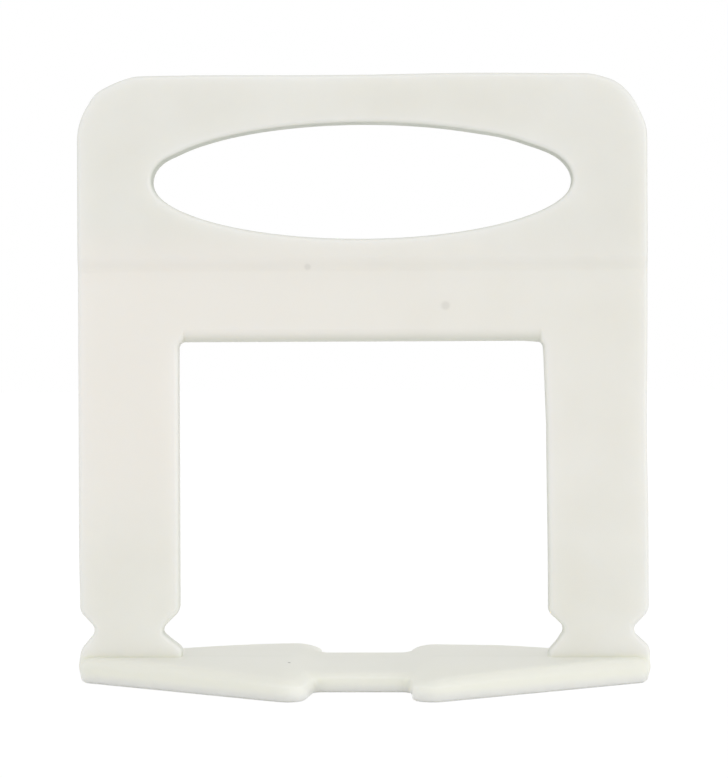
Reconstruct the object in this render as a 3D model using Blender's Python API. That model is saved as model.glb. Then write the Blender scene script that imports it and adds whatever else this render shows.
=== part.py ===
"""Tile levelling clip, moulded in one piece in natural polypropylene.

A flat frame with a grip hole and a wedge window stands on a foot plate that lies under two
neighbouring tiles. Each leg is notched on both edges, where it breaks off once the mortar
has set. Metres, +Z up: the plate's underside lies at Z = 0, the frame stands over the X axis
and its two faces look along -Y and +Y.
"""

import math

import bmesh
import bpy

MM = 0.001

# The frame's width
WIDTH = 58.0 * MM
# The leg's thickness sets the joint between the tiles.
LEG_THICKNESS = 2.0 * MM
EDGE_RADIUS = 0.45 * MM

# The wedge window, whose upper edge is rounded off so that the wedge can slide in
WINDOW_WIDTH = 37.5 * MM
WINDOW_TOP_Z = 34.6 * MM
WINDOW_CORNER_RADIUS = 0.6 * MM
RAMP_HEIGHT = 2.1 * MM
RAMP_LAND = 0.5 * MM

# The head stands on the crossbar over the window. It is a little thicker than the legs, and
# its lower edge rounds down to them.
CROSSBAR_HEIGHT = 7.2 * MM
HEAD_STEP_Z = WINDOW_TOP_Z + CROSSBAR_HEIGHT
HEAD_STEP = 0.2 * MM
HEAD_STEP_HEIGHT = 1.3 * MM

# The grip hole is an ellipse, whose middle lies this far above the head's lower edge.
GRIP_WIDTH = 42.8 * MM
GRIP_HEIGHT = 11.75 * MM
GRIP_RISE = 9.1 * MM
GRIP_Z = HEAD_STEP_Z + GRIP_RISE

# The band over the grip hole, which ends the frame
TOP_BAND = 4.925 * MM
HEIGHT = GRIP_Z + GRIP_HEIGHT / 2 + TOP_BAND
TOP_CORNER_RADIUS = 6.6 * MM

# The break notches, and how much wider the foot is than the leg on each edge
NOTCH_Z = 5.25 * MM
NOTCH_DEPTH = 1.55 * MM
NOTCH_FLANK = math.radians(45)
NOTCH_ROOT_RADIUS = 0.45 * MM
NOTCH_SHOULDER_RADIUS = 1.35 * MM
FOOT_STEP = 0.06 * MM

# The foot plate's outline: two wings that taper towards the legs, and a bridge between them.
# The depths and the corners' places are those before the corners are rounded.
PLATE_OVERHANG = 0.04 * MM
PLATE_END_X = WIDTH / 2 + FOOT_STEP + PLATE_OVERHANG
PLATE_END_HALF_DEPTH = 1.5 * MM
PLATE_END_RADIUS = 0.6 * MM
WING_HALF_DEPTH = 14.8 * MM
WING_CORNER_X = 5.55 * MM
WING_CORNER_RADIUS = 1.7 * MM
BRIDGE_HALF_DEPTH = 7.75 * MM
BRIDGE_CORNER_X = 4.6 * MM
BRIDGE_CORNER_RADIUS = 0.8 * MM

# The plate's section: flat along the middle, falling away towards the wings' tips by a power
# of the depth, and lower along the bridge
PLATE_HEIGHT = 2.5 * MM
CROWN_DROP = 0.8 * MM
CROWN_POWER = 4
BRIDGE_DROP = 0.58 * MM
PLATE_TOP_RADIUS = 0.45 * MM
PLATE_BOTTOM_RADIUS = 0.25 * MM
FOOT_CORNER_RADIUS = 1.0 * MM

# The fillet where each leg grows out of the plate, and how far in from the leg's outer edge
# it grows from nothing to its full size
ROOT_FILLET = 0.5 * MM
FILLET_RUN = 1.5 * MM

# A leg's corners inside the plate, which are a little rounder than its edges
LEG_ROOT_RADIUS = EDGE_RADIUS + 0.15 * MM

# How finely round stretches are drawn
ARC_STEP = math.radians(13)
GRIP_POINTS = 72
EDGE_SEGMENTS = 4
STEP_SEGMENTS = 4
FILLET_SEGMENTS = 5
FILLET_RUN_STEPS = 5
PLATE_ROWS = 9

# How far one shape runs into another before they are joined
SINK = 0.03 * MM

# Heights and directions closer than this count as the same.
TOLERANCE = 1e-6


def rounded_outline(corners):
    """The points of a closed outline, counterclockwise, as (u, v, outward u, outward v).

    Each corner is (u, v, radius). The outline turns the corner on an arc of that radius.
    """
    outline = []
    for i, (u, v, radius) in enumerate(corners):
        before = corners[i - 1]
        after = corners[(i + 1) % len(corners)]
        heading_in = math.atan2(v - before[1], u - before[0])
        heading_out = math.atan2(after[1] - v, after[0] - u)
        turn = math.remainder(heading_out - heading_in, math.tau)
        side = math.copysign(1.0, turn)
        reach = radius * math.tan(abs(turn) / 2)
        start_u = u - reach * math.cos(heading_in)
        start_v = v - reach * math.sin(heading_in)
        centre_u = start_u - side * radius * math.sin(heading_in)
        centre_v = start_v + side * radius * math.cos(heading_in)
        segments = max(2, math.ceil(abs(turn) / ARC_STEP))
        for k in range(segments + 1):
            heading = heading_in + turn * k / segments
            out_u = math.sin(heading)
            out_v = -math.cos(heading)
            point_u = centre_u + side * radius * out_u
            point_v = centre_v + side * radius * out_v
            outline.append((point_u, point_v, out_u, out_v))
    return outline


def with_levels(outline, levels):
    """The outline with a point added wherever it crosses one of the levels of v."""
    result = []
    for i, here in enumerate(outline):
        after = outline[(i + 1) % len(outline)]
        result.append(here)
        crossed = [v for v in levels if (here[1] - v) * (after[1] - v) < 0]
        crossed.sort(reverse=after[1] < here[1])
        for v in crossed:
            share = (v - here[1]) / (after[1] - here[1])
            result.append((here[0] + share * (after[0] - here[0]), v, here[2], here[3]))
    return result


def edge_angles(segments):
    """The angles of a rounded edge, from the face round to the wall."""
    return [math.pi / 2 * (1 - k / segments) for k in range(segments + 1)]


def join_rings(bm, rings):
    """Walls between closed rings of as many vertices each."""
    for ring, after in zip(rings, rings[1:]):
        count = len(ring)
        for i in range(count):
            j = (i + 1) % count
            bm.faces.new((ring[i], ring[j], after[j], after[i]))


def ring_edges(ring):
    return [(ring[i - 1], ring[i]) for i in range(len(ring))]


def fill(bm, pairs):
    """Flat faces inside the closed loops that these pairs of vertices make."""
    edges = [bm.edges.get(pair) or bm.edges.new(pair) for pair in pairs]
    bmesh.ops.triangle_fill(bm, edges=edges, use_beauty=True, normal=(0, 0, 0))


def mesh_object(name, bm):
    """The finished shape as an object, with its faces turned outwards."""
    bmesh.ops.recalc_face_normals(bm, faces=bm.faces[:])
    mesh = bpy.data.meshes.new(name)
    bm.to_mesh(mesh)
    bm.free()
    obj = bpy.data.objects.new(name, mesh)
    bpy.context.scene.collection.objects.link(obj)
    return obj


def notch(edge_x, outward, shoulder_x):
    """The three corners of a break notch, from the foot up.

    The leg's edge stands at edge_x above the notch and at shoulder_x below it.
    """
    beyond_root = NOTCH_ROOT_RADIUS * (1 / math.sin(NOTCH_FLANK) - 1)
    root_x = edge_x - outward * (NOTCH_DEPTH + beyond_root)
    rise = math.tan(math.pi / 2 - NOTCH_FLANK)
    low_z = NOTCH_Z - abs(shoulder_x - root_x) * rise
    high_z = NOTCH_Z + abs(edge_x - root_x) * rise
    return [
        (shoulder_x, low_z, NOTCH_SHOULDER_RADIUS),
        (root_x, NOTCH_Z, NOTCH_ROOT_RADIUS),
        (edge_x, high_z, NOTCH_SHOULDER_RADIUS),
    ]


def frame_outline():
    """The frame seen from the front: an arch on two notched legs, which end in the plate."""
    outer_x = WIDTH / 2
    inner_x = WINDOW_WIDTH / 2
    foot_outer_x = outer_x + FOOT_STEP
    foot_inner_x = inner_x - FOOT_STEP
    root_z = PLATE_HEIGHT / 2
    right = [(foot_outer_x, root_z, LEG_ROOT_RADIUS)]
    right += notch(outer_x, 1, foot_outer_x)
    right.append((outer_x, HEIGHT, TOP_CORNER_RADIUS))
    inside = [(inner_x, WINDOW_TOP_Z, WINDOW_CORNER_RADIUS)]
    inside += reversed(notch(inner_x, -1, foot_inner_x))
    inside.append((foot_inner_x, root_z, LEG_ROOT_RADIUS))
    left = [(-x, z, radius) for x, z, radius in reversed(right)]
    inside_left = [(-x, z, radius) for x, z, radius in reversed(inside)]
    return rounded_outline(right + left + inside_left + inside)


def grip_outline():
    """The grip hole, whose outward side is its empty middle."""
    outline = []
    for i in range(GRIP_POINTS):
        angle = math.tau * i / GRIP_POINTS
        x = GRIP_WIDTH / 2 * math.cos(angle)
        z = GRIP_HEIGHT / 2 * math.sin(angle)
        out_x = -math.cos(angle) / GRIP_WIDTH
        out_z = -math.sin(angle) / GRIP_HEIGHT
        length = math.hypot(out_x, out_z)
        outline.append((x, GRIP_Z + z, out_x / length, out_z / length))
    return outline


def step_levels():
    """The heights at which the head's lower edge is drawn, from the legs' face up."""
    top = HEAD_STEP_Z + HEAD_STEP_HEIGHT
    angles = [math.pi / 2 * k / STEP_SEGMENTS for k in range(STEP_SEGMENTS + 1)]
    return [top - HEAD_STEP_HEIGHT * math.cos(angle) for angle in angles]


def face_y(z):
    """How far each of the frame's faces stands from its middle at this height."""
    down = (HEAD_STEP_Z + HEAD_STEP_HEIGHT - z) / HEAD_STEP_HEIGHT
    down = min(1.0, max(0.0, down))
    return LEG_THICKNESS / 2 + HEAD_STEP * math.sqrt(1 - down * down)


def frame_rings(bm, outline):
    """Rings of vertices from the front face round the edge to the back face.

    The window's upper edge, which faces down, is rounded over the ramp's height instead.
    """
    rings = []
    angles = edge_angles(EDGE_SEGMENTS)
    stations = [(-1, angle) for angle in angles] + [(1, angle) for angle in reversed(angles)]
    for side, angle in stations:
        ring = []
        for x, z, out_x, out_z in outline:
            inside_window = abs(x) < WINDOW_WIDTH / 2 and z < HEAD_STEP_Z
            ramp = max(0.0, -out_z) ** 2 if inside_window and z > HEIGHT / 2 else 0.0
            inset = EDGE_RADIUS + ramp * (RAMP_HEIGHT - EDGE_RADIUS)
            depth = EDGE_RADIUS + ramp * ((LEG_THICKNESS - RAMP_LAND) / 2 - EDGE_RADIUS)
            inwards = inset * (1 - math.cos(angle))
            y = face_y(z) - depth * (1 - math.sin(angle))
            ring.append(bm.verts.new((x - out_x * inwards, side * y, z - out_z * inwards)))
        rings.append(ring)
    return rings


def fill_frame_face(bm, ring, grip_ring):
    """One face of the frame: the legs below the head's step, the step, and the head."""
    levels = step_levels()
    rows = []
    for level in levels:
        on_level = [vertex for vertex in ring if abs(vertex.co.z - level) < TOLERANCE]
        on_level.sort(key=lambda vertex: vertex.co.x)
        rows.append((on_level[0], on_level[-1]))
    for (left, right), (left_above, right_above) in zip(rows, rows[1:]):
        bm.faces.new((left, right, right_above, left_above))
    middle = (levels[0] + levels[-1]) / 2
    step_vertices = {vertex for row in rows for vertex in row}
    edges = [e for e in ring_edges(ring) if not step_vertices.issuperset(e)]
    below = [e for e in edges if e[0].co.z < middle and e[1].co.z < middle]
    above = [e for e in edges if e[0].co.z > middle and e[1].co.z > middle]
    fill(bm, below + [rows[0]])
    fill(bm, above + [rows[-1]] + ring_edges(grip_ring))


def make_frame():
    bm = bmesh.new()
    outer = frame_rings(bm, with_levels(frame_outline(), step_levels()))
    grip = frame_rings(bm, grip_outline())
    join_rings(bm, outer)
    join_rings(bm, grip)
    fill_frame_face(bm, outer[0], grip[0])
    fill_frame_face(bm, outer[-1], grip[-1])
    return mesh_object("levelling_clip", bm)


def plate_side():
    """The plate's front edge seen from above, from its left end to its right end."""
    right = [
        (BRIDGE_CORNER_X, -BRIDGE_HALF_DEPTH, BRIDGE_CORNER_RADIUS),
        (WING_CORNER_X, -WING_HALF_DEPTH, WING_CORNER_RADIUS),
        (PLATE_END_X, -PLATE_END_HALF_DEPTH, PLATE_END_RADIUS),
    ]
    left = [(-x, y, radius) for x, y, radius in reversed(right)]
    back = [(x, -y, radius) for x, y, radius in reversed(left + right)]
    outline = rounded_outline(left + right + back)
    return [point for point in outline if point[1] < 0 and point[3] < TOLERANCE]


def plate_outline():
    """The plate's whole outline from above, and how many of its points are on the front edge.

    Each end has as many points between its corners as the plate has rows inside its edges.
    """
    front = plate_side()
    back = [(x, -y, out_x, -out_y) for x, y, out_x, out_y in reversed(front)]
    end_x, end_y = front[-1][:2]
    shares = [(row + 1) / (PLATE_ROWS + 1) for row in range(PLATE_ROWS)]
    right_end = [(end_x, end_y * (1 - 2 * share), 1, 0) for share in shares]
    left_end = [(-end_x, -y, -1, 0) for _, y, _, _ in right_end]
    return front + right_end + back + left_end, len(front)


def plate_top(x, y):
    """The height of the plate's upper face: a crown, lowered along the bridge."""
    bridge_end_x = BRIDGE_CORNER_X - BRIDGE_CORNER_RADIUS
    wing_start_x = WING_CORNER_X + WING_CORNER_RADIUS
    share = (abs(x) - bridge_end_x) / (wing_start_x - bridge_end_x)
    share = min(1.0, max(0.0, share))
    on_bridge = 1 - share * share * (3 - 2 * share)
    crown = CROWN_DROP * (abs(y) / WING_HALF_DEPTH) ** CROWN_POWER
    return PLATE_HEIGHT - crown - BRIDGE_DROP * on_bridge


def plate_rings(bm, outline):
    """Rings from the upper face's edge, down the wall, to the underside's edge."""
    rings = []
    angles = edge_angles(EDGE_SEGMENTS)
    for angle in angles:
        ring = []
        for x, y, out_x, out_y in outline:
            inwards = PLATE_TOP_RADIUS * (1 - math.cos(angle))
            face = plate_top(x - out_x * PLATE_TOP_RADIUS, y - out_y * PLATE_TOP_RADIUS)
            z = face - PLATE_TOP_RADIUS * (1 - math.sin(angle))
            ring.append(bm.verts.new((x - out_x * inwards, y - out_y * inwards, z)))
        rings.append(ring)
    for angle in reversed(angles):
        ring = []
        for x, y, out_x, out_y in outline:
            at_end = max(0.0, abs(out_x) - abs(out_y))
            radius = PLATE_BOTTOM_RADIUS + at_end * (FOOT_CORNER_RADIUS - PLATE_BOTTOM_RADIUS)
            inwards = radius * (1 - math.cos(angle))
            z = radius * (1 - math.sin(angle))
            ring.append(bm.verts.new((x - out_x * inwards, y - out_y * inwards, z)))
        rings.append(ring)
    return rings


def make_plate():
    bm = bmesh.new()
    outline, front_count = plate_outline()
    rings = plate_rings(bm, outline)
    join_rings(bm, rings)
    top = rings[0]
    front = top[:front_count]
    right_end = top[front_count : front_count + PLATE_ROWS]
    back = top[front_count + PLATE_ROWS : 2 * front_count + PLATE_ROWS][::-1]
    left_end = top[2 * front_count + PLATE_ROWS :][::-1]
    columns = [[front[0]] + left_end + [back[0]]]
    for near, far in zip(front[1:-1], back[1:-1]):
        column = [near]
        for row in range(PLATE_ROWS):
            share = (row + 1) / (PLATE_ROWS + 1)
            spot = near.co.lerp(far.co, share)
            spot.z = plate_top(spot.x, spot.y)
            column.append(bm.verts.new(spot))
        columns.append(column + [far])
    columns.append([front[-1]] + right_end + [back[-1]])
    for column, after in zip(columns, columns[1:]):
        for row in range(PLATE_ROWS + 1):
            bm.faces.new((column[row], after[row], after[row + 1], column[row + 1]))
    fill(bm, ring_edges(rings[-1]))
    return mesh_object("foot_plate", bm)


def wing_half_depth(x):
    """Half the plate's depth between its wing corners and its ends."""
    share = (x - WING_CORNER_X) / (PLATE_END_X - WING_CORNER_X)
    return WING_HALF_DEPTH + share * (PLATE_END_HALF_DEPTH - WING_HALF_DEPTH)


def fillet_radius(x):
    """The root fillet's radius, which shrinks with the ledge beside the leg."""
    ledge = wing_half_depth(x) - PLATE_TOP_RADIUS - LEG_THICKNESS / 2
    return min(ROOT_FILLET, max(2 * SINK, ledge))


def root_path():
    """The way round the right leg's foot: its front, its inner side and its back."""
    inner_x = WINDOW_WIDTH / 2 - FOOT_STEP
    front_y = -LEG_THICKNESS / 2
    end_x = WIDTH / 2
    corners = [
        (end_x, front_y, EDGE_RADIUS),
        (end_x, -front_y, EDGE_RADIUS),
        (inner_x, -front_y, EDGE_RADIUS),
        (inner_x, front_y, EDGE_RADIUS),
    ]
    outline = rounded_outline(corners)
    sides = [point for point in outline if point[2] < TOLERANCE]
    start = next(i for i, point in enumerate(sides) if point[1] > 0)
    path = sides[start:] + sides[:start]
    on_front = path[-1]
    on_back = path[0]
    run_x = end_x - FILLET_RUN
    step = (on_front[0] - run_x) / FILLET_RUN_STEPS
    far = [run_x + step * k for k in range(FILLET_RUN_STEPS)]
    front = [(x, on_front[1], 0, -1) for x in far]
    back = [(x, on_back[1], 0, 1) for x in reversed(far)]
    return [on_back] + back + path[1:-1] + front + [on_front]


def make_root_fillet(name, side):
    """A hollow-cornered skirt round one leg's foot, swept along the way round it."""
    bm = bmesh.new()
    sections = []
    for x, y, out_x, out_y in root_path():
        radius = fillet_radius(x)
        base_z = plate_top(x, y) - SINK
        outline = [(-radius, base_z - radius), (radius - SINK, base_z - radius)]
        for k in range(FILLET_SEGMENTS + 1):
            angle = math.pi / 2 * k / FILLET_SEGMENTS
            away = radius * (1 - math.sin(angle)) - SINK
            outline.append((away, base_z + radius * (1 - math.cos(angle))))
        outline.append((-radius, base_z + radius))
        section = []
        for away, z in outline:
            spot = (side * (x + out_x * away), y + out_y * away, z)
            section.append(bm.verts.new(spot))
        sections.append(section)
    join_rings(bm, sections)
    bm.faces.new(sections[0])
    bm.faces.new(sections[-1])
    return mesh_object(name, bm)


def join_to(obj, other):
    """Joins other to obj and hides it, as it is now part of the one moulding."""
    union = obj.modifiers.new(other.name, "BOOLEAN")
    union.operation = "UNION"
    union.solver = "EXACT"
    union.object = other
    other.hide_render = True
    other.display_type = "WIRE"


def natural_polypropylene():
    """Milky white plastic with a soft gloss."""
    material = bpy.data.materials.new("natural polypropylene, moulded")
    material.use_nodes = True
    shader = material.node_tree.nodes["Principled BSDF"]
    shader.inputs["Base Color"].default_value = (0.80, 0.80, 0.74, 1)
    shader.inputs["Roughness"].default_value = 0.42
    shader.inputs["Metallic"].default_value = 0.0
    return material


def main():
    for obj in list(bpy.data.objects):
        bpy.data.objects.remove(obj)
    clip = make_frame()
    join_to(clip, make_plate())
    join_to(clip, make_root_fillet("right_root_fillet", 1))
    join_to(clip, make_root_fillet("left_root_fillet", -1))
    clip.data.materials.append(natural_polypropylene())
    clip.data.shade_smooth()
    clip.data.set_sharp_from_angle(angle=math.radians(35))


main()
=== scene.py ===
"""Looks of the tile levelling clip: natural polypropylene, moulded in one piece.

Metres, in the CAD model's frame: the foot plate's underside lies at Z = 0 and the frame's
front face looks along -Y.
"""

import math

import bmesh
import bpy
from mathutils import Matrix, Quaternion, Vector


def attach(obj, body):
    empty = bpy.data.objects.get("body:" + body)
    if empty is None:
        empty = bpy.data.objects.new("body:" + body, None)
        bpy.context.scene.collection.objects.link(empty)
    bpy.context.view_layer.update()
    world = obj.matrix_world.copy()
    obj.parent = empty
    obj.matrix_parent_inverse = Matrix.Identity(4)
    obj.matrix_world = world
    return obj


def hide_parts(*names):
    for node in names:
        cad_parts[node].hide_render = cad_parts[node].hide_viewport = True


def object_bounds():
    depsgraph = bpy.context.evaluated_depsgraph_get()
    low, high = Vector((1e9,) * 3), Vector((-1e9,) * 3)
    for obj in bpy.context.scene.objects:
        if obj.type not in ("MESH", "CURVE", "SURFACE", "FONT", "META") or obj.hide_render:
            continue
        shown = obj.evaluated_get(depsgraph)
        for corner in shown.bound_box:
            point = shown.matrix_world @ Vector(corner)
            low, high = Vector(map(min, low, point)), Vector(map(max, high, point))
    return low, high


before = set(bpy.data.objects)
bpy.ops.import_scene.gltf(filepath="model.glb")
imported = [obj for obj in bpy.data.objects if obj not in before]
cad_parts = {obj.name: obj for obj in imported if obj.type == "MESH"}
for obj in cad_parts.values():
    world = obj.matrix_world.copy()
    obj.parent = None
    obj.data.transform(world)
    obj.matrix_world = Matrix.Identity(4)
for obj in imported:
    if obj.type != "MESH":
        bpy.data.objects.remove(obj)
cad_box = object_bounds()

MM = 0.001


def linear(hex_colour):
    """An sRGB hex colour as linear red, green, blue and alpha."""
    channels = [int(hex_colour[i : i + 2], 16) / 255 for i in (1, 3, 5)]
    channels = [c / 12.92 if c <= 0.04045 else ((c + 0.055) / 1.055) ** 2.4 for c in channels]
    return (*channels, 1.0)


CLIP = "levelling_clip"

# The photograph's view, worked out from the foot plate's front and back edges. The sensor, in
# Blender's millimetres, spans the picture's longer side.
PHOTO_HEIGHT = 778
FOCAL_PIXELS = 1870
CAMERA_DISTANCE = 191 * MM
CAMERA_HEIGHT = 29.75 * MM
CAMERA_SIDE_ANGLE = math.radians(1.27)
CAMERA_ROLL = math.radians(0.22)
AIM_X = 0.17 * MM
SENSOR = 36

# The light: even light from all round, a broad soft key from above and in front, and a
# smaller soft box on the right, which draws a bright line along edges that face it
WORLD_LIGHT = 0.81
KEY_LIGHT = 0.27
KEY_FROM = (0.0, -0.8, 0.35)
KEY_SPREAD = math.radians(80)
SIDE_LIGHT = 0.38
SIDE_FROM = (1.0, -0.15, 0.15)
SIDE_SPREAD = math.radians(8)
WHITE = (1, 1, 1, 1)

# The paper under the clip: its size in metres, its place just under the plate, how white it
# looks, and how much of its look is the light that falls on it
FLOOR_SIZE = 40
FLOOR_Z = -0.02 * MM
PAPER_GLOW = 0.84
PAPER_SHARE = linear("#808080")

# The frame
WIDTH = 58.0 * MM
HEIGHT = cad_box[1][2]
LEG_THICKNESS = 2.0 * MM
TOP_CORNER_RADIUS = 6.6 * MM
EDGE_RADIUS = 0.45 * MM
# The head is thicker by this step on each face, which eases in from here, over this height.
HEAD_STEP = 0.28 * MM
HEAD_STEP_Z = 41.65 * MM
HEAD_STEP_HEIGHT = 1.6 * MM
HEAD_STEP_ROWS = 12

# The grip hole and the wedge window. The window's ramp is the wedge's lead-in, as high and
# deep as this, and dies away near the window's corners.
GRIP_WIDTH = 42.8 * MM
GRIP_HEIGHT = 11.81 * MM
GRIP_Z = 50.93 * MM
GRIP_TILT = math.radians(-0.06)
WINDOW_WIDTH = 37.5 * MM
WINDOW_TOP_Z = 34.6 * MM
WINDOW_CORNER_RADIUS = 0.6 * MM
RAMP_HEIGHT = 2.4 * MM
RAMP_DEPTH = 0.9 * MM
RAMP_END = 1.2 * MM
# Under 1, the ramp leaves the face more steeply than the rounding it is drawn from.
RAMP_POWER = 0.65

# The break notches, each cut by a square bar that stands on its edge
NOTCH_Z = 5.25 * MM
NOTCH_DEPTH = 1.55 * MM
NOTCH_ROOT_RADIUS = 0.8 * MM
NOTCH_SHOULDER_RADIUS = 1.35 * MM
NOTCH_SLOPE = math.radians(45)
NOTCH_BAR_REACH = 4 * MM
# A notch opens this far above and below its middle, because its sides would meet a little
# beyond the rounded root.
NOTCH_HALF_OPENING = NOTCH_DEPTH + NOTCH_ROOT_RADIUS * (math.sqrt(2) - 1)

# The foot plate. It stops this much short of the CAD model's box, because the moulding's
# unevenness draws its right end out again.
END_ALLOWANCE = 0.11 * MM
PLATE_END_X = cad_box[1][0] - END_ALLOWANCE
PLATE_END_HALF_DEPTH = 1.5 * MM
PLATE_END_RADIUS = 1.15 * MM
WING_HALF_DEPTH = 14.8 * MM
WING_CORNER_X = 5.55 * MM
WING_CORNER_RADIUS = 1.9 * MM
BRIDGE_HALF_DEPTH = 7.75 * MM
BRIDGE_CORNER_X = 4.6 * MM
BRIDGE_CORNER_RADIUS = 0.8 * MM
PLATE_HEIGHT = 2.5 * MM
CROWN_DROP = 0.8 * MM
CROWN_POWER = 4
BRIDGE_DROP = 0.58 * MM
PLATE_TOP_RADIUS = 1.1 * MM
PLATE_BOTTOM_RADIUS = 0.25 * MM
# The plate's ends curl in to the floor through this much of a quarter circle.
PLATE_CURL_RADIUS = 0.9 * MM
PLATE_CURL_SHARE = 0.97

# Each leg's root: how far above the plate it starts to spread, how far down and out it spreads
# and in how many steps, and how far it goes on inside the plate, a little smaller
ROOT_RISE = 0.27 * MM
ROOT_Z = PLATE_HEIGHT + ROOT_RISE
ROOT_DEPTH = 1.35 * MM
ROOT_FLARE = 0.5 * MM
ROOT_STEPS = 8
BURIED_DEPTH = 0.4 * MM
BURIED_SIZE = (0.985, 0.96, 1)

# How far the cutting blocks reach to each side of the frame's middle
CUTTER_REACH = 5 * MM
# The broad faces are cut this finely, so that they pull and join cleanly. On the frame the
# level cuts start at two heights, and on the plate some places are given.
CELL_WIDTH = 3 * MM
CELL_HEIGHT = 2.9 * MM
LEG_CUTS_Z = 8.7 * MM
HEAD_CUTS_Z = 37.6 * MM
PLATE_ROWS = 24
BRIDGE_COLUMNS = 22
BRIDGE_CUTS_X = 10 * MM
WING_CUTS_X = [x * MM for x in (-24, -19, -14, 14, 19, 24)]
# Edges that turn more than this are shaded sharp.
SMOOTH_ANGLE = math.radians(40)

# Where the moulding came out a little uneven: middle in X and Z, reach in X and Z, push in X
# and Z, all in millimetres
UNEVEN_FRAME = [
    # The top edge is wavy.
    ((-15.5, 61.7), (9.0, 3.0), (0.0, 0.07)),
    ((11.0, 61.7), (11.0, 3.0), (0.0, 0.12)),
    # The head's corners: a slight kink on the left, and a fuller start on the right.
    ((-27.05, 59.8), (1.4, 1.4), (-0.08, 0.08)),
    ((-24.7, 61.2), (2.0, 2.0), (0.03, -0.09)),
    ((26.0, 60.9), (1.8, 1.8), (0.09, 0.06)),
    ((28.3, 58.0), (2.2, 2.2), (-0.1, -0.08)),
    # The grip hole is fuller at its upper ends.
    ((20.0, 53.1), (4.2, 3.4), (0.0, 0.28)),
    ((15.0, 55.0), (4.5, 2.5), (0.0, 0.12)),
    ((-20.7, 52.5), (2.6, 2.2), (0.0, 0.2)),
    # The legs' edges wander.
    ((18.75, 9.0), (2.5, 17.0), (0.13, 0.0)),
    ((29.0, 26.0), (3.0, 10.0), (-0.12, 0.0)),
    ((-29.0, 8.2), (2.5, 5.0), (0.09, 0.0)),
    # The window's right corner has a long fillet.
    ((18.5, 34.1), (1.3, 1.1), (-0.16, -0.2)),
    ((18.75, 31.8), (1.6, 5.5), (-0.2, 0.0)),
    # The feet below the notches lean to the right, and so does the plate's right end.
    ((-28.9, 3.9), (1.8, 2.2), (0.2, 0.0)),
    ((-18.8, 3.2), (1.1, 1.2), (0.3, 0.0)),
    ((18.9, 4.3), (1.2, 1.5), (0.32, 0.0)),
    ((28.6, 4.3), (2.0, 2.6), (0.22, 0.0)),
    ((29.0, 1.2), (3.0, 2.2), (0.13, 0.0)),
    # The right leg's inner notch has a fuller corner above, and the left leg's a deeper root.
    ((18.9, 6.8), (1.4, 1.0), (-0.12, 0.0)),
    ((-20.2, 5.0), (1.0, 0.9), (-0.15, 0.0)),
]
# The same for the plate, in X, Y and Z: its back edge sinks on the right, and the wings'
# inner corners wander.
UNEVEN_PLATE = [
    ((10.0, 13.5, 2.0), (9.0, 7.0, 3.0), (0.0, 0.0, -0.16)),
    ((-5.0, 13.0, 1.5), (1.8, 3.0, 4.0), (0.5, 0.0, 0.0)),
    ((5.0, 13.0, 1.5), (1.8, 3.0, 4.0), (-0.3, 0.0, 0.0)),
    ((5.0, -13.0, 0.5), (1.6, 3.0, 3.0), (-0.3, 0.0, 0.0)),
]

# The plastic: how far light wanders inside it, the sizes of its clouds and of its faces'
# waves, how many times both break up finer, and how high and strong the waves are
LIGHT_DEPTH = 1.6 * MM
CLOUD_SIZE = 8 * MM
WAVE_SIZE = 3 * MM
NOISE_DETAIL = 4.0
WAVE_HEIGHT = 0.02 * MM
WAVE_STRENGTH = 0.4
# How the finish, the painted shade on the rims and the painted light on the plate change over
# the clip: along which axis, where the change starts and ends, and how much there is of it at
# its start and its end
GRADES = {
    "warm above the feet": ("Z", 8 * MM, 26 * MM, 0.0, 1.0),
    "warm below the head": ("Z", 48 * MM, 42 * MM, 0.0, 1.0),
    "warm on the left": ("X", 50 * MM, -30 * MM, 0.0, 0.8),
    # Painted shade on the rims: part of it below the head, all of it on the head
    "painted shade on rims": ("Z", 36 * MM, 44 * MM, 0.55, 1.0),
    # Painted light on the plate and on the legs' roots just above it
    "plate": ("Z", PLATE_HEIGHT + 0.5 * MM, PLATE_HEIGHT - 0.1 * MM, 0.0, 1.0),
    # More painted light low on the plate, where the floor shades it
    "painted light near the floor": ("Z", 2.0 * MM, 0.1 * MM, 0.0, 1.0),
    "half thickness": (
        "Z",
        HEAD_STEP_Z,
        HEAD_STEP_Z + HEAD_STEP_HEIGHT,
        LEG_THICKNESS / 2,
        LEG_THICKNESS / 2 + HEAD_STEP,
    ),
}
# The black speck and two grey spots: place and radius in millimetres, and how dark they are
MARKS = [
    ((-7.30, -4.6, 2.45), 0.22, 0.9),
    ((8.50, -1.0, 38.20), 0.60, 0.10),
    ((-5.50, -1.0, 42.20), 0.45, 0.10),
]
# The share of a mark's radius where it is at its darkest
MARK_CORE = 0.4


def ease(share):
    """A soft way from 0 to 1, level at both ends."""
    share = min(1.0, max(0.0, share))
    return share * share * (3 - 2 * share)


def fall_off(distance):
    """A soft fall from 1 at the middle to 0 at the reach."""
    return (1 - distance * distance) ** 2 if distance < 1 else 0.0


def evenly(count, half):
    """This many places, spread evenly between -half and half."""
    return [half * (2 * (k + 1) / (count + 1) - 1) for k in range(count)]


def near(value, *places):
    """Whether the value is within a hundredth of a millimetre of one of the places."""
    return any(abs(value - place) < 0.01 * MM for place in places)


def pick(piece):
    """Makes the piece active, and selects it alone."""
    bpy.ops.object.select_all(action="DESELECT")
    bpy.context.view_layer.objects.active = piece
    piece.select_set(True)


def edit(piece):
    """Starts edit mode on the piece alone."""
    pick(piece)
    bpy.ops.object.mode_set(mode="EDIT")


def done():
    """Ends edit mode."""
    bpy.ops.object.mode_set(mode="OBJECT")


def block(name, low, high):
    """A block between two corners."""
    bpy.ops.object.select_all(action="DESELECT")
    middle = [(a + b) / 2 for a, b in zip(low, high)]
    bpy.ops.mesh.primitive_cube_add(size=1, location=middle)
    piece = bpy.context.active_object
    piece.name = name
    piece.scale = [b - a for a, b in zip(low, high)]
    bpy.ops.object.transform_apply(location=True, rotation=True, scale=True)
    return piece


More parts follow.
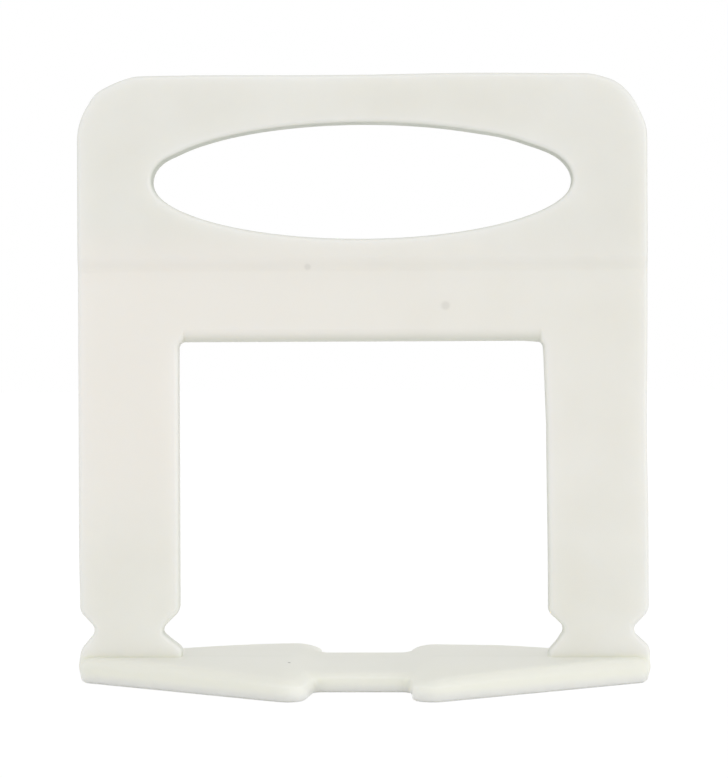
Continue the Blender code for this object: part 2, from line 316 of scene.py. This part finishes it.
def choose(piece, kind, test):
    """In edit mode, selects the verts, edges or faces that pass the test, and only those."""
    bpy.ops.mesh.select_mode(type={"verts": "VERT", "edges": "EDGE", "faces": "FACE"}[kind])
    bpy.ops.mesh.select_all(action="DESELECT")
    mesh = bmesh.from_edit_mesh(piece.data)
    mesh.normal_update()
    for item in [item for item in getattr(mesh, kind) if test(item)]:
        item.select_set(True)
    mesh.select_flush_mode()
    bmesh.update_edit_mesh(piece.data)


def slice_across(axis, places):
    """In edit mode, cuts the whole mesh by planes across the axis at these places."""
    normal = [0, 0, 0]
    normal["XYZ".index(axis)] = 1
    for place in places:
        bpy.ops.mesh.select_all(action="SELECT")
        bpy.ops.mesh.bisect(plane_co=[place * n for n in normal], plane_no=normal)


def bevel(offset, segments):
    """In edit mode, rounds the selected edges off."""
    bpy.ops.mesh.bevel(
        offset=offset,
        segments=segments,
        affect="EDGES",
        clamp_overlap=False,
        loop_slide=False,
    )


def middle_of(edge):
    """The point halfway along the edge."""
    return (edge.verts[0].co + edge.verts[1].co) / 2


def runs_along(edge, axis):
    """Whether the edge runs along the axis, within about 8 degrees."""
    way = edge.verts[1].co - edge.verts[0].co
    return abs(way["XYZ".index(axis)]) > 0.99 * way.length


def is_wall(face):
    """Whether the face stands across the frame's thickness, within about 6 degrees."""
    return abs(face.normal.y) < 0.1


def lies_at(edge, z):
    """Whether the edge lies level at this height."""
    return all(near(vertex.co.z, z) for vertex in edge.verts)


def combine(piece, tool, operation):
    """Cuts the tool out of the piece or joins it on, and removes the tool."""
    modifier = piece.modifiers.new(operation.lower(), "BOOLEAN")
    modifier.operation = operation
    modifier.solver = "MANIFOLD"
    modifier.object = tool
    pick(piece)
    bpy.ops.object.modifier_apply(modifier=modifier.name)
    bpy.data.objects.remove(tool)


def window_cutter():
    """The wedge window, with its small upper corners."""
    low = (-WINDOW_WIDTH / 2, -CUTTER_REACH, -CUTTER_REACH)
    high = (WINDOW_WIDTH / 2, CUTTER_REACH, WINDOW_TOP_Z)
    cutter = block("window", low, high)
    edit(cutter)
    choose(cutter, "edges", lambda e: runs_along(e, "Y") and near(middle_of(e).z, WINDOW_TOP_Z))
    bevel(WINDOW_CORNER_RADIUS, segments=10)
    done()
    return cutter


def grip_cutter():
    """The grip hole, an ellipse that stands a little out of level."""
    bpy.ops.object.select_all(action="DESELECT")
    bpy.ops.mesh.primitive_cylinder_add(
        vertices=180,
        radius=0.5,
        depth=2 * CUTTER_REACH,
        location=(0, 0, GRIP_Z),
        rotation=(math.pi / 2, 0, 0),
    )
    cutter = bpy.context.active_object
    cutter.scale = (GRIP_WIDTH, GRIP_HEIGHT, 1)
    bpy.ops.object.transform_apply(location=True, rotation=True, scale=True)
    edit(cutter)
    bpy.ops.mesh.select_all(action="SELECT")
    bpy.ops.transform.rotate(
        value=GRIP_TILT, orient_axis="Y", center_override=(0, 0, GRIP_Z)
    )
    done()
    return cutter


def notch_cutter(edge_x, outward):
    """A bar stood on its edge, whose rounded inner edge is the notch's root."""
    middle_x = edge_x + outward * (NOTCH_BAR_REACH - NOTCH_HALF_OPENING)
    half = NOTCH_BAR_REACH / math.sqrt(2)
    low = (middle_x - half, -CUTTER_REACH, NOTCH_Z - half)
    high = (middle_x + half, CUTTER_REACH, NOTCH_Z + half)
    cutter = block("notch", low, high)
    edit(cutter)
    bpy.ops.mesh.select_all(action="SELECT")
    bpy.ops.transform.rotate(
        value=NOTCH_SLOPE, orient_axis="Y", center_override=(middle_x, 0, NOTCH_Z)
    )
    root_x = middle_x - outward * NOTCH_BAR_REACH
    choose(cutter, "edges", lambda e: runs_along(e, "Y") and near(middle_of(e).x, root_x))
    bevel(NOTCH_ROOT_RADIUS, segments=8)
    done()
    return cutter


def make_frame():
    """The flat frame: rounded shoulders, a hole, a window, and two notches on each leg."""
    half = WIDTH / 2
    low = (-half, -LEG_THICKNESS / 2, ROOT_Z)
    high = (half, LEG_THICKNESS / 2, HEIGHT)
    piece = block("moulded_clip", low, high)
    edit(piece)
    choose(piece, "edges", lambda e: runs_along(e, "Y") and near(middle_of(e).z, HEIGHT))
    bevel(TOP_CORNER_RADIUS, segments=28)
    done()
    combine(piece, window_cutter(), "DIFFERENCE")
    combine(piece, grip_cutter(), "DIFFERENCE")
    for side in (-1, 1):
        combine(piece, notch_cutter(side * half, side), "DIFFERENCE")
        combine(piece, notch_cutter(side * WINDOW_WIDTH / 2, -side), "DIFFERENCE")
    round_notch_shoulders(piece)
    step_out_head(piece)
    round_edges(piece)
    stretch_ramp(piece)
    divide_faces(piece)
    for side in (-1, 1):
        flare_foot(piece, side)
    return piece


def round_notch_shoulders(piece):
    """Rounds the corners just above and below each notch."""

    def is_shoulder(edge):
        place = middle_of(edge)
        return (
            runs_along(edge, "Y")
            and near(abs(place.z - NOTCH_Z), NOTCH_HALF_OPENING)
            and near(abs(place.x), WIDTH / 2, WINDOW_WIDTH / 2)
        )

    edit(piece)
    choose(piece, "edges", is_shoulder)
    bevel(NOTCH_SHOULDER_RADIUS * math.tan(NOTCH_SLOPE / 2), segments=6)
    done()


def step_out_head(piece):
    """Thickens the head, whose lower edge eases down to the legs' face."""
    shares = [row / HEAD_STEP_ROWS for row in range(HEAD_STEP_ROWS + 1)]
    edit(piece)
    slice_across("Z", [HEAD_STEP_Z + HEAD_STEP_HEIGHT * share for share in shares])
    mesh = bmesh.from_edit_mesh(piece.data)
    for vertex in mesh.verts:
        out = HEAD_STEP * ease((vertex.co.z - HEAD_STEP_Z) / HEAD_STEP_HEIGHT)
        vertex.co.y = math.copysign(LEG_THICKNESS / 2 + out, vertex.co.y)
    bmesh.update_edit_mesh(piece.data)
    done()


def round_edges(piece):
    """Rounds the frame's outline, window, hole and notches off, front and back."""

    def is_rim(edge):
        if len(edge.link_faces) != 2 or runs_along(edge, "Y"):
            return False
        if near(middle_of(edge).z, ROOT_Z):
            return False
        return is_wall(edge.link_faces[0]) != is_wall(edge.link_faces[1])

    edit(piece)
    choose(piece, "edges", is_rim)
    bevel(EDGE_RADIUS, segments=6)
    done()


def stretch_ramp(piece):
    """Draws the rounding of the window's upper edge up the face, as the wedge's lead-in."""
    half = WINDOW_WIDTH / 2
    rounding_error = 0.001 * MM
    past_rounding = 1.1 * EDGE_RADIUS
    edit(piece)
    mesh = bmesh.from_edit_mesh(piece.data)
    for vertex in mesh.verts:
        x, y, z = vertex.co
        up = z - WINDOW_TOP_Z
        if abs(x) > half or not -rounding_error < up < past_rounding:
            continue
        share = ease((half - abs(x)) / RAMP_END)
        vertex.co.z = WINDOW_TOP_Z + up * (1 + share * (RAMP_HEIGHT / EDGE_RADIUS - 1))
        in_from_face = LEG_THICKNESS / 2 - abs(y)
        if in_from_face < past_rounding:
            ramp_depth = RAMP_DEPTH * (max(0.0, in_from_face) / EDGE_RADIUS) ** RAMP_POWER
            depth = in_from_face + share * (ramp_depth - in_from_face)
            vertex.co.y = math.copysign(LEG_THICKNESS / 2 - depth, y)
    bmesh.update_edit_mesh(piece.data)
    done()


def divide_faces(piece):
    """Cuts the frame's broad flat faces into small ones."""
    edit(piece)
    slice_across("X", [side * (k + 0.5) * CELL_WIDTH for side in (-1, 1) for k in range(9)])
    for first_z, cuts in ((LEG_CUTS_Z, 9), (HEAD_CUTS_Z, 8)):
        slice_across("Z", [first_z + k * CELL_HEIGHT for k in range(cuts)])
    done()


def flare_foot(piece, side):
    """Draws a leg's foot out in a soft curve, down into the plate's edge."""
    outer_x = side * WIDTH / 2
    width = (WIDTH - WINDOW_WIDTH) / 2
    thickness = LEG_THICKNESS

    def is_sole(face):
        middle = face.calc_center_median()
        return face.normal.z < -0.9 and near(middle.z, ROOT_Z) and middle.x * side > 0

    edit(piece)
    choose(piece, "faces", is_sole)
    for step in range(ROOT_STEPS):
        out = ROOT_FLARE * (ease((step + 1) / ROOT_STEPS) - ease(step / ROOT_STEPS))
        down = (0, 0, -ROOT_DEPTH / ROOT_STEPS)
        bpy.ops.mesh.extrude_region_move(TRANSFORM_OT_translate={"value": down})
        factors = ((width + out) / width, (thickness + 2 * out) / thickness, 1)
        bpy.ops.transform.resize(value=factors, center_override=(outer_x, 0, 0))
        width += out
        thickness += 2 * out
    # The rest is inside the plate.
    down = (0, 0, -BURIED_DEPTH)
    bpy.ops.mesh.extrude_region_move(TRANSFORM_OT_translate={"value": down})
    middle_x = outer_x - side * width / 2
    bpy.ops.transform.resize(value=BURIED_SIZE, center_override=(middle_x, 0, 0))
    done()


def make_plate():
    """The foot plate: a block narrowed at its ends and its middle, rounded, then crowned."""
    low = (-PLATE_END_X, -WING_HALF_DEPTH, 0)
    high = (PLATE_END_X, WING_HALF_DEPTH, PLATE_HEIGHT)
    plate = block("foot_plate", low, high)
    edit(plate)
    narrow_plate(plate)
    round_plate_corners(plate)
    round_plate_rims(plate)
    crown_plate(plate)
    done()
    return plate


def narrow_plate(plate):
    """In edit mode, draws the block in to two pointed wings and a bridge between them."""
    slice_across("X", [-WING_CORNER_X, -BRIDGE_CORNER_X, BRIDGE_CORNER_X, WING_CORNER_X])
    half_depths = {PLATE_END_X: PLATE_END_HALF_DEPTH, BRIDGE_CORNER_X: BRIDGE_HALF_DEPTH}
    for x, half_depth in half_depths.items():
        choose(plate, "verts", lambda v: near(abs(v.co.x), x))
        factors = (1, half_depth / WING_HALF_DEPTH, 1)
        bpy.ops.transform.resize(value=factors, center_override=(0, 0, 0))


def round_plate_corners(plate):
    """In edit mode, rounds the corners of the plate's outline."""
    corners = [
        (PLATE_END_X, PLATE_END_RADIUS, 5),
        (WING_CORNER_X, WING_CORNER_RADIUS, 14),
        (BRIDGE_CORNER_X, BRIDGE_CORNER_RADIUS, 10),
    ]
    for x, radius, segments in corners:
        choose(plate, "edges", lambda e: runs_along(e, "Z") and near(abs(middle_of(e).x), x))
        mesh = bmesh.from_edit_mesh(plate.data)
        turn = next(edge.calc_face_angle() for edge in mesh.edges if edge.select)
        bevel(radius * math.tan(turn / 2), segments)


def round_plate_rims(plate):
    """In edit mode, rounds the plate's upper and lower edges off."""
    flat = 0.01
    sharp = math.radians(60)
    # The cuts across the flat faces have done their work, and would fold the broad rounding.
    choose(plate, "edges", lambda e: not runs_along(e, "Z") and e.calc_face_angle(1) < flat)
    bpy.ops.mesh.dissolve_edges(use_verts=False)
    rims = [(PLATE_HEIGHT, PLATE_TOP_RADIUS, 9), (0, PLATE_BOTTOM_RADIUS, 4)]
    for z, radius, segments in rims:
        choose(plate, "edges", lambda e: lies_at(e, z) and e.calc_face_angle(0) > sharp)
        bevel(radius, segments)


def crown_plate(plate):
    """In edit mode, cuts the plate up, lowers its top to a crown and curls its ends in."""
    slice_across("Y", evenly(PLATE_ROWS, WING_HALF_DEPTH))
    slice_across("X", evenly(BRIDGE_COLUMNS, BRIDGE_CUTS_X))
    slice_across("X", WING_CUTS_X)
    mesh = bmesh.from_edit_mesh(plate.data)
    waist = PLATE_HEIGHT / 2
    for vertex in mesh.verts:
        above = vertex.co.z - waist
        curl_end_in(vertex)
        if above > 0:
            top = plate_top(vertex.co.x, vertex.co.y)
            vertex.co.z = waist + above * (top - waist) / (PLATE_HEIGHT - waist)
    bmesh.update_edit_mesh(plate.data)


def curl_end_in(vertex):
    """Draws a vertex near the plate's end in towards the floor, along a quarter circle."""
    start_x = PLATE_END_X - PLATE_CURL_RADIUS
    beyond = abs(vertex.co.x) - start_x
    down = PLATE_CURL_SHARE * (PLATE_CURL_RADIUS - vertex.co.z) / PLATE_CURL_RADIUS
    if beyond > 0 and down > 0:
        beyond *= math.sqrt(1 - down * down)
        vertex.co.x = math.copysign(start_x + beyond, vertex.co.x)


def plate_top(x, y):
    """The height of the plate's upper face: a crown, lowered along the bridge."""
    bridge_end_x = BRIDGE_CORNER_X - BRIDGE_CORNER_RADIUS
    wing_start_x = WING_CORNER_X + WING_CORNER_RADIUS
    on_bridge = 1 - ease((abs(x) - bridge_end_x) / (wing_start_x - bridge_end_x))
    crown = CROWN_DROP * (abs(y) / WING_HALF_DEPTH) ** CROWN_POWER
    return PLATE_HEIGHT - crown - BRIDGE_DROP * on_bridge


def make_uneven(piece):
    """Small pulls that keep the real moulding's waviness."""
    frame_pulls = [
        ((x, 0, z), (reach_x, math.inf, reach_z), (push_x, 0, push_z))
        for (x, z), (reach_x, reach_z), (push_x, push_z) in UNEVEN_FRAME
    ]
    edit(piece)
    mesh = bmesh.from_edit_mesh(piece.data)
    for vertex in mesh.verts:
        start = vertex.co / MM
        for middle, reach, push in frame_pulls + UNEVEN_PLATE:
            away = Vector([(a - b) / c for a, b, c in zip(start, middle, reach)])
            vertex.co += fall_off(away.length) * Vector(push) * MM
    bmesh.update_edit_mesh(piece.data)
    done()


def finish_surface(piece):
    """Smooth shading that keeps the flat faces flat up to their rounded edges."""
    pick(piece)
    bpy.ops.object.shade_smooth_by_angle(angle=SMOOTH_ANGLE)
    flat = piece.modifiers.new("flat faces", "WEIGHTED_NORMAL")
    flat.keep_sharp = True
    # At 100, the largest faces decide.
    flat.weight = 100
    bpy.ops.object.modifier_apply(modifier=flat.name)


def add_node(material, kind, settings=None, inputs=None):
    """A shader node with its settings, and its inputs set to values or linked to sockets."""
    tree = material.node_tree
    node = tree.nodes.new(kind)
    for name, value in (settings or {}).items():
        setattr(node, name, value)
    for name, value in (inputs or {}).items():
        if isinstance(value, bpy.types.NodeSocket):
            tree.links.new(value, node.inputs[name])
        else:
            node.inputs[name].default_value = value
    return node


def finish_and_painted_light_grades(material, axes):
    """How much there is of each change of the finish, of the painted shade and of the painted
    light, by its name.
    """
    grades = {}
    for name, (axis, start, end, first, last) in GRADES.items():
        grade = add_node(
            material,
            "ShaderNodeMapRange",
            {"interpolation_type": "SMOOTHSTEP"},
            {
                "Value": axes[axis],
                "From Min": start,
                "From Max": end,
                "To Min": first,
                "To Max": last,
            },
        )
        grades[name] = grade.outputs[0]
    return grades


def warm_share(material, grades):
    """The crossbar and the legs' upper ends are a little warmer, most of all on the left."""
    below = add_node(
        material,
        "ShaderNodeMath",
        {"operation": "MULTIPLY"},
        {0: grades["warm above the feet"], 1: grades["warm below the head"]},
    )
    share = add_node(
        material,
        "ShaderNodeMath",
        {"operation": "MULTIPLY"},
        {0: below.outputs[0], 1: grades["warm on the left"]},
    )
    return share.outputs[0]


def painted_rim_shade(material, axes, grades):
    """Painted shade: the rounded rims and the wedge's lead-in are painted greyer the nearer they
    come to the wall.
    """
    from_middle = add_node(material, "ShaderNodeMath", {"operation": "ABSOLUTE"}, {0: axes["Y"]})
    in_from_face = add_node(
        material,
        "ShaderNodeMath",
        {"operation": "SUBTRACT"},
        {0: grades["half thickness"], 1: from_middle.outputs[0]},
    )
    rounded = add_node(
        material,
        "ShaderNodeMapRange",
        {"interpolation_type": "SMOOTHSTEP"},
        {"Value": in_from_face.outputs[0], "From Max": EDGE_RADIUS},
    )
    share = add_node(
        material,
        "ShaderNodeMath",
        {"operation": "MULTIPLY"},
        {0: rounded.outputs[0], 1: grades["painted shade on rims"]},
    )
    return share.outputs[0]


def mark_share(material, place):
    """The black speck and the grey spots, which fade out towards their edges."""
    share = 0.0
    for middle, radius, strength in MARKS:
        distance = add_node(
            material,
            "ShaderNodeVectorMath",
            {"operation": "DISTANCE"},
            {0: place, 1: [c * MM for c in middle]},
        )
        mark = add_node(
            material,
            "ShaderNodeMapRange",
            {"interpolation_type": "SMOOTHSTEP"},
            {
                "Value": distance.outputs["Value"],
                "From Min": radius * MM,
                "From Max": MARK_CORE * radius * MM,
                "To Max": strength,
            },
        )
        darkest = add_node(
            material,
            "ShaderNodeMath",
            {"operation": "MAXIMUM"},
            {0: share, 1: mark.outputs[0]},
        )
        share = darkest.outputs[0]
    return share


def moulded_polypropylene():
    """Natural polypropylene, injection moulded.

    It is milky and lets light in, so its shading is soft. The thin rounded rims are painted
    with shade, greyer than the broad faces, and the foot plate with light, whiter, most of all
    near the floor. The mould leaves a soft gloss, faint clouds and slight waves with a grain,
    and there are a black speck and two grey spots.
    """
    material = bpy.data.materials.new("natural polypropylene, moulded")
    material.use_nodes = True
    tree = material.node_tree
    shader = tree.nodes["Principled BSDF"]
    place = add_node(material, "ShaderNodeTexCoord").outputs["Object"]
    axes = add_node(material, "ShaderNodeSeparateXYZ", inputs={0: place}).outputs
    grades = finish_and_painted_light_grades(material, axes)
    # Each breaks up down to a sixteenth of its size: the clouds to a mottling, and the waves
    # to a grain that is drawn coarse enough to show.
    clouds, waves = [
        add_node(
            material,
            "ShaderNodeTexNoise",
            inputs={"Vector": place, "Scale": 1 / size, "Detail": NOISE_DETAIL},
        ).outputs[0]
        for size in (CLOUD_SIZE, WAVE_SIZE)
    ]

    # Painted light: the plate is lighter, and whitest near the floor, against the shade under it
    painted_plate_light = add_node(
        material,
        "ShaderNodeMix",
        {"data_type": "RGBA"},
        {0: grades["painted light near the floor"], 6: linear("#eeeee4"), 7: linear("#fffff0")},
    )
    # Each layer's share, and its colour, painted shade and painted light among them
    layers = [
        (clouds, linear("#f2f2ee")),
        (warm_share(material, grades), linear("#f3f0eb")),
        # Painted shade on the rims and the wedge's lead-in
        (painted_rim_shade(material, axes, grades), linear("#c6c9be")),
        # Painted light on the plate and the legs' roots
        (grades["plate"], painted_plate_light.outputs[2]),
        (mark_share(material, place), linear("#4a4a40")),
    ]
    colour = linear("#ebeae3")
    for share, tint in layers:
        mix = add_node(
            material,
            "ShaderNodeMix",
            {"data_type": "RGBA"},
            {0: share, 6: colour, 7: tint},
        )
        colour = mix.outputs[2]
    tree.links.new(colour, shader.inputs["Base Color"])

    # The gloss is a little duller where the clouds are lighter.
    gloss = add_node(
        material,
        "ShaderNodeMapRange",
        {"interpolation_type": "SMOOTHSTEP"},
        {"Value": clouds, "From Min": 0.3, "From Max": 0.7, "To Min": 0.40, "To Max": 0.50},
    )
    tree.links.new(gloss.outputs[0], shader.inputs["Roughness"])
    bump = add_node(
        material,
        "ShaderNodeBump",
        inputs={"Strength": WAVE_STRENGTH, "Distance": WAVE_HEIGHT, "Height": waves},
    )
    tree.links.new(bump.outputs[0], shader.inputs["Normal"])

    # Light goes right through it, and red light a little further.
    shader.inputs["IOR"].default_value = 1.49
    shader.inputs["Subsurface Weight"].default_value = 1.0
    shader.inputs["Subsurface Radius"].default_value = (1.0, 0.97, 0.92)
    shader.inputs["Subsurface Scale"].default_value = LIGHT_DEPTH
    return material


def seen_directly(material):
    """Where a surface is looked at, straight or through a reflection or a clear body."""
    path = add_node(material, "ShaderNodeLightPath")
    mirrored = add_node(
        material,
        "ShaderNodeMath",
        {"operation": "MAXIMUM"},
        {0: path.outputs["Is Glossy Ray"], 1: path.outputs["Is Transmission Ray"]},
    )
    seen = add_node(
        material,
        "ShaderNodeMath",
        {"operation": "MAXIMUM"},
        {0: path.outputs["Is Camera Ray"], 1: mirrored.outputs[0]},
    )
    return seen.outputs[0]


def white_paper():
    """White background paper. It looks white and still takes the clip's faint shadow."""
    material = bpy.data.materials.new("white background paper")
    material.use_nodes = True
    tree = material.node_tree
    tree.nodes.clear()
    output = add_node(material, "ShaderNodeOutputMaterial")
    paper = add_node(material, "ShaderNodeBsdfDiffuse", inputs={"Color": linear("#fbfbfb")})
    shaded = add_node(material, "ShaderNodeBsdfDiffuse", inputs={"Color": PAPER_SHARE})
    glow = add_node(
        material, "ShaderNodeEmission", inputs={"Color": WHITE, "Strength": PAPER_GLOW}
    )
    both = add_node(
        material, "ShaderNodeAddShader", inputs={0: shaded.outputs[0], 1: glow.outputs[0]}
    )
    mix = add_node(
        material,
        "ShaderNodeMixShader",
        inputs={"Fac": seen_directly(material), 1: paper.outputs[0], 2: both.outputs[0]},
    )
    tree.links.new(mix.outputs[0], output.inputs["Surface"])
    return material


def make_world():
    """Even soft light from all round, which itself looks white."""
    world = bpy.data.worlds.new("soft studio")
    bpy.context.scene.world = world
    world.use_nodes = True
    tree = world.node_tree
    tree.nodes.clear()
    output = add_node(world, "ShaderNodeOutputWorld")
    light, white = [
        add_node(world, "ShaderNodeBackground", inputs={"Color": WHITE, "Strength": strength})
        for strength in (WORLD_LIGHT, 1.0)
    ]
    path = add_node(world, "ShaderNodeLightPath")
    mix = add_node(
        world,
        "ShaderNodeMixShader",
        inputs={
            "Fac": path.outputs["Is Camera Ray"],
            1: light.outputs[0],
            2: white.outputs[0],
        },
    )
    tree.links.new(mix.outputs[0], output.inputs["Surface"])


def make_floor():
    """The sheet of paper that the clip stands on."""
    bpy.ops.mesh.primitive_plane_add(size=FLOOR_SIZE, location=(0, 0, FLOOR_Z))
    floor = bpy.context.active_object
    floor.name = "floor"
    floor.data.materials.append(white_paper())


def add_soft_box(name, strength, place, spread):
    """A far soft box of this angular width, which lights clip and paper alike."""
    data = bpy.data.lights.new(name, "SUN")
    data.energy = strength
    data.angle = spread
    lamp = bpy.data.objects.new(name, data)
    bpy.context.scene.collection.objects.link(lamp)
    lamp.rotation_euler = Vector(place).to_track_quat("Z", "Y").to_euler()


def make_camera():
    """The photograph's close, level view from just right of the middle."""
    data = bpy.data.cameras.new("camera")
    data.sensor_width = SENSOR
    data.lens = SENSOR * FOCAL_PIXELS / PHOTO_HEIGHT
    camera = bpy.data.objects.new("camera", data)
    bpy.context.scene.collection.objects.link(camera)
    aim = Vector((AIM_X, 0, CAMERA_HEIGHT))
    away = Vector((math.sin(CAMERA_SIDE_ANGLE), -math.cos(CAMERA_SIDE_ANGLE), 0))
    camera.location = aim + CAMERA_DISTANCE * away
    camera.rotation_mode = "QUATERNION"
    level = (-away).to_track_quat("-Z", "Y")
    camera.rotation_quaternion = level @ Quaternion((0, 0, 1), -CAMERA_ROLL)
    bpy.context.scene.camera = camera


make_camera()
make_world()
make_floor()
add_soft_box("key", KEY_LIGHT, KEY_FROM, KEY_SPREAD)
add_soft_box("side", SIDE_LIGHT, SIDE_FROM, SIDE_SPREAD)

clip = make_frame()
combine(clip, make_plate(), "UNION")
make_uneven(clip)
finish_surface(clip)
clip.data.materials.clear()
clip.data.materials.append(moulded_polypropylene())
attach(clip, "root")
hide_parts(CLIP)

bpy.context.scene.view_settings.view_transform = "Standard"
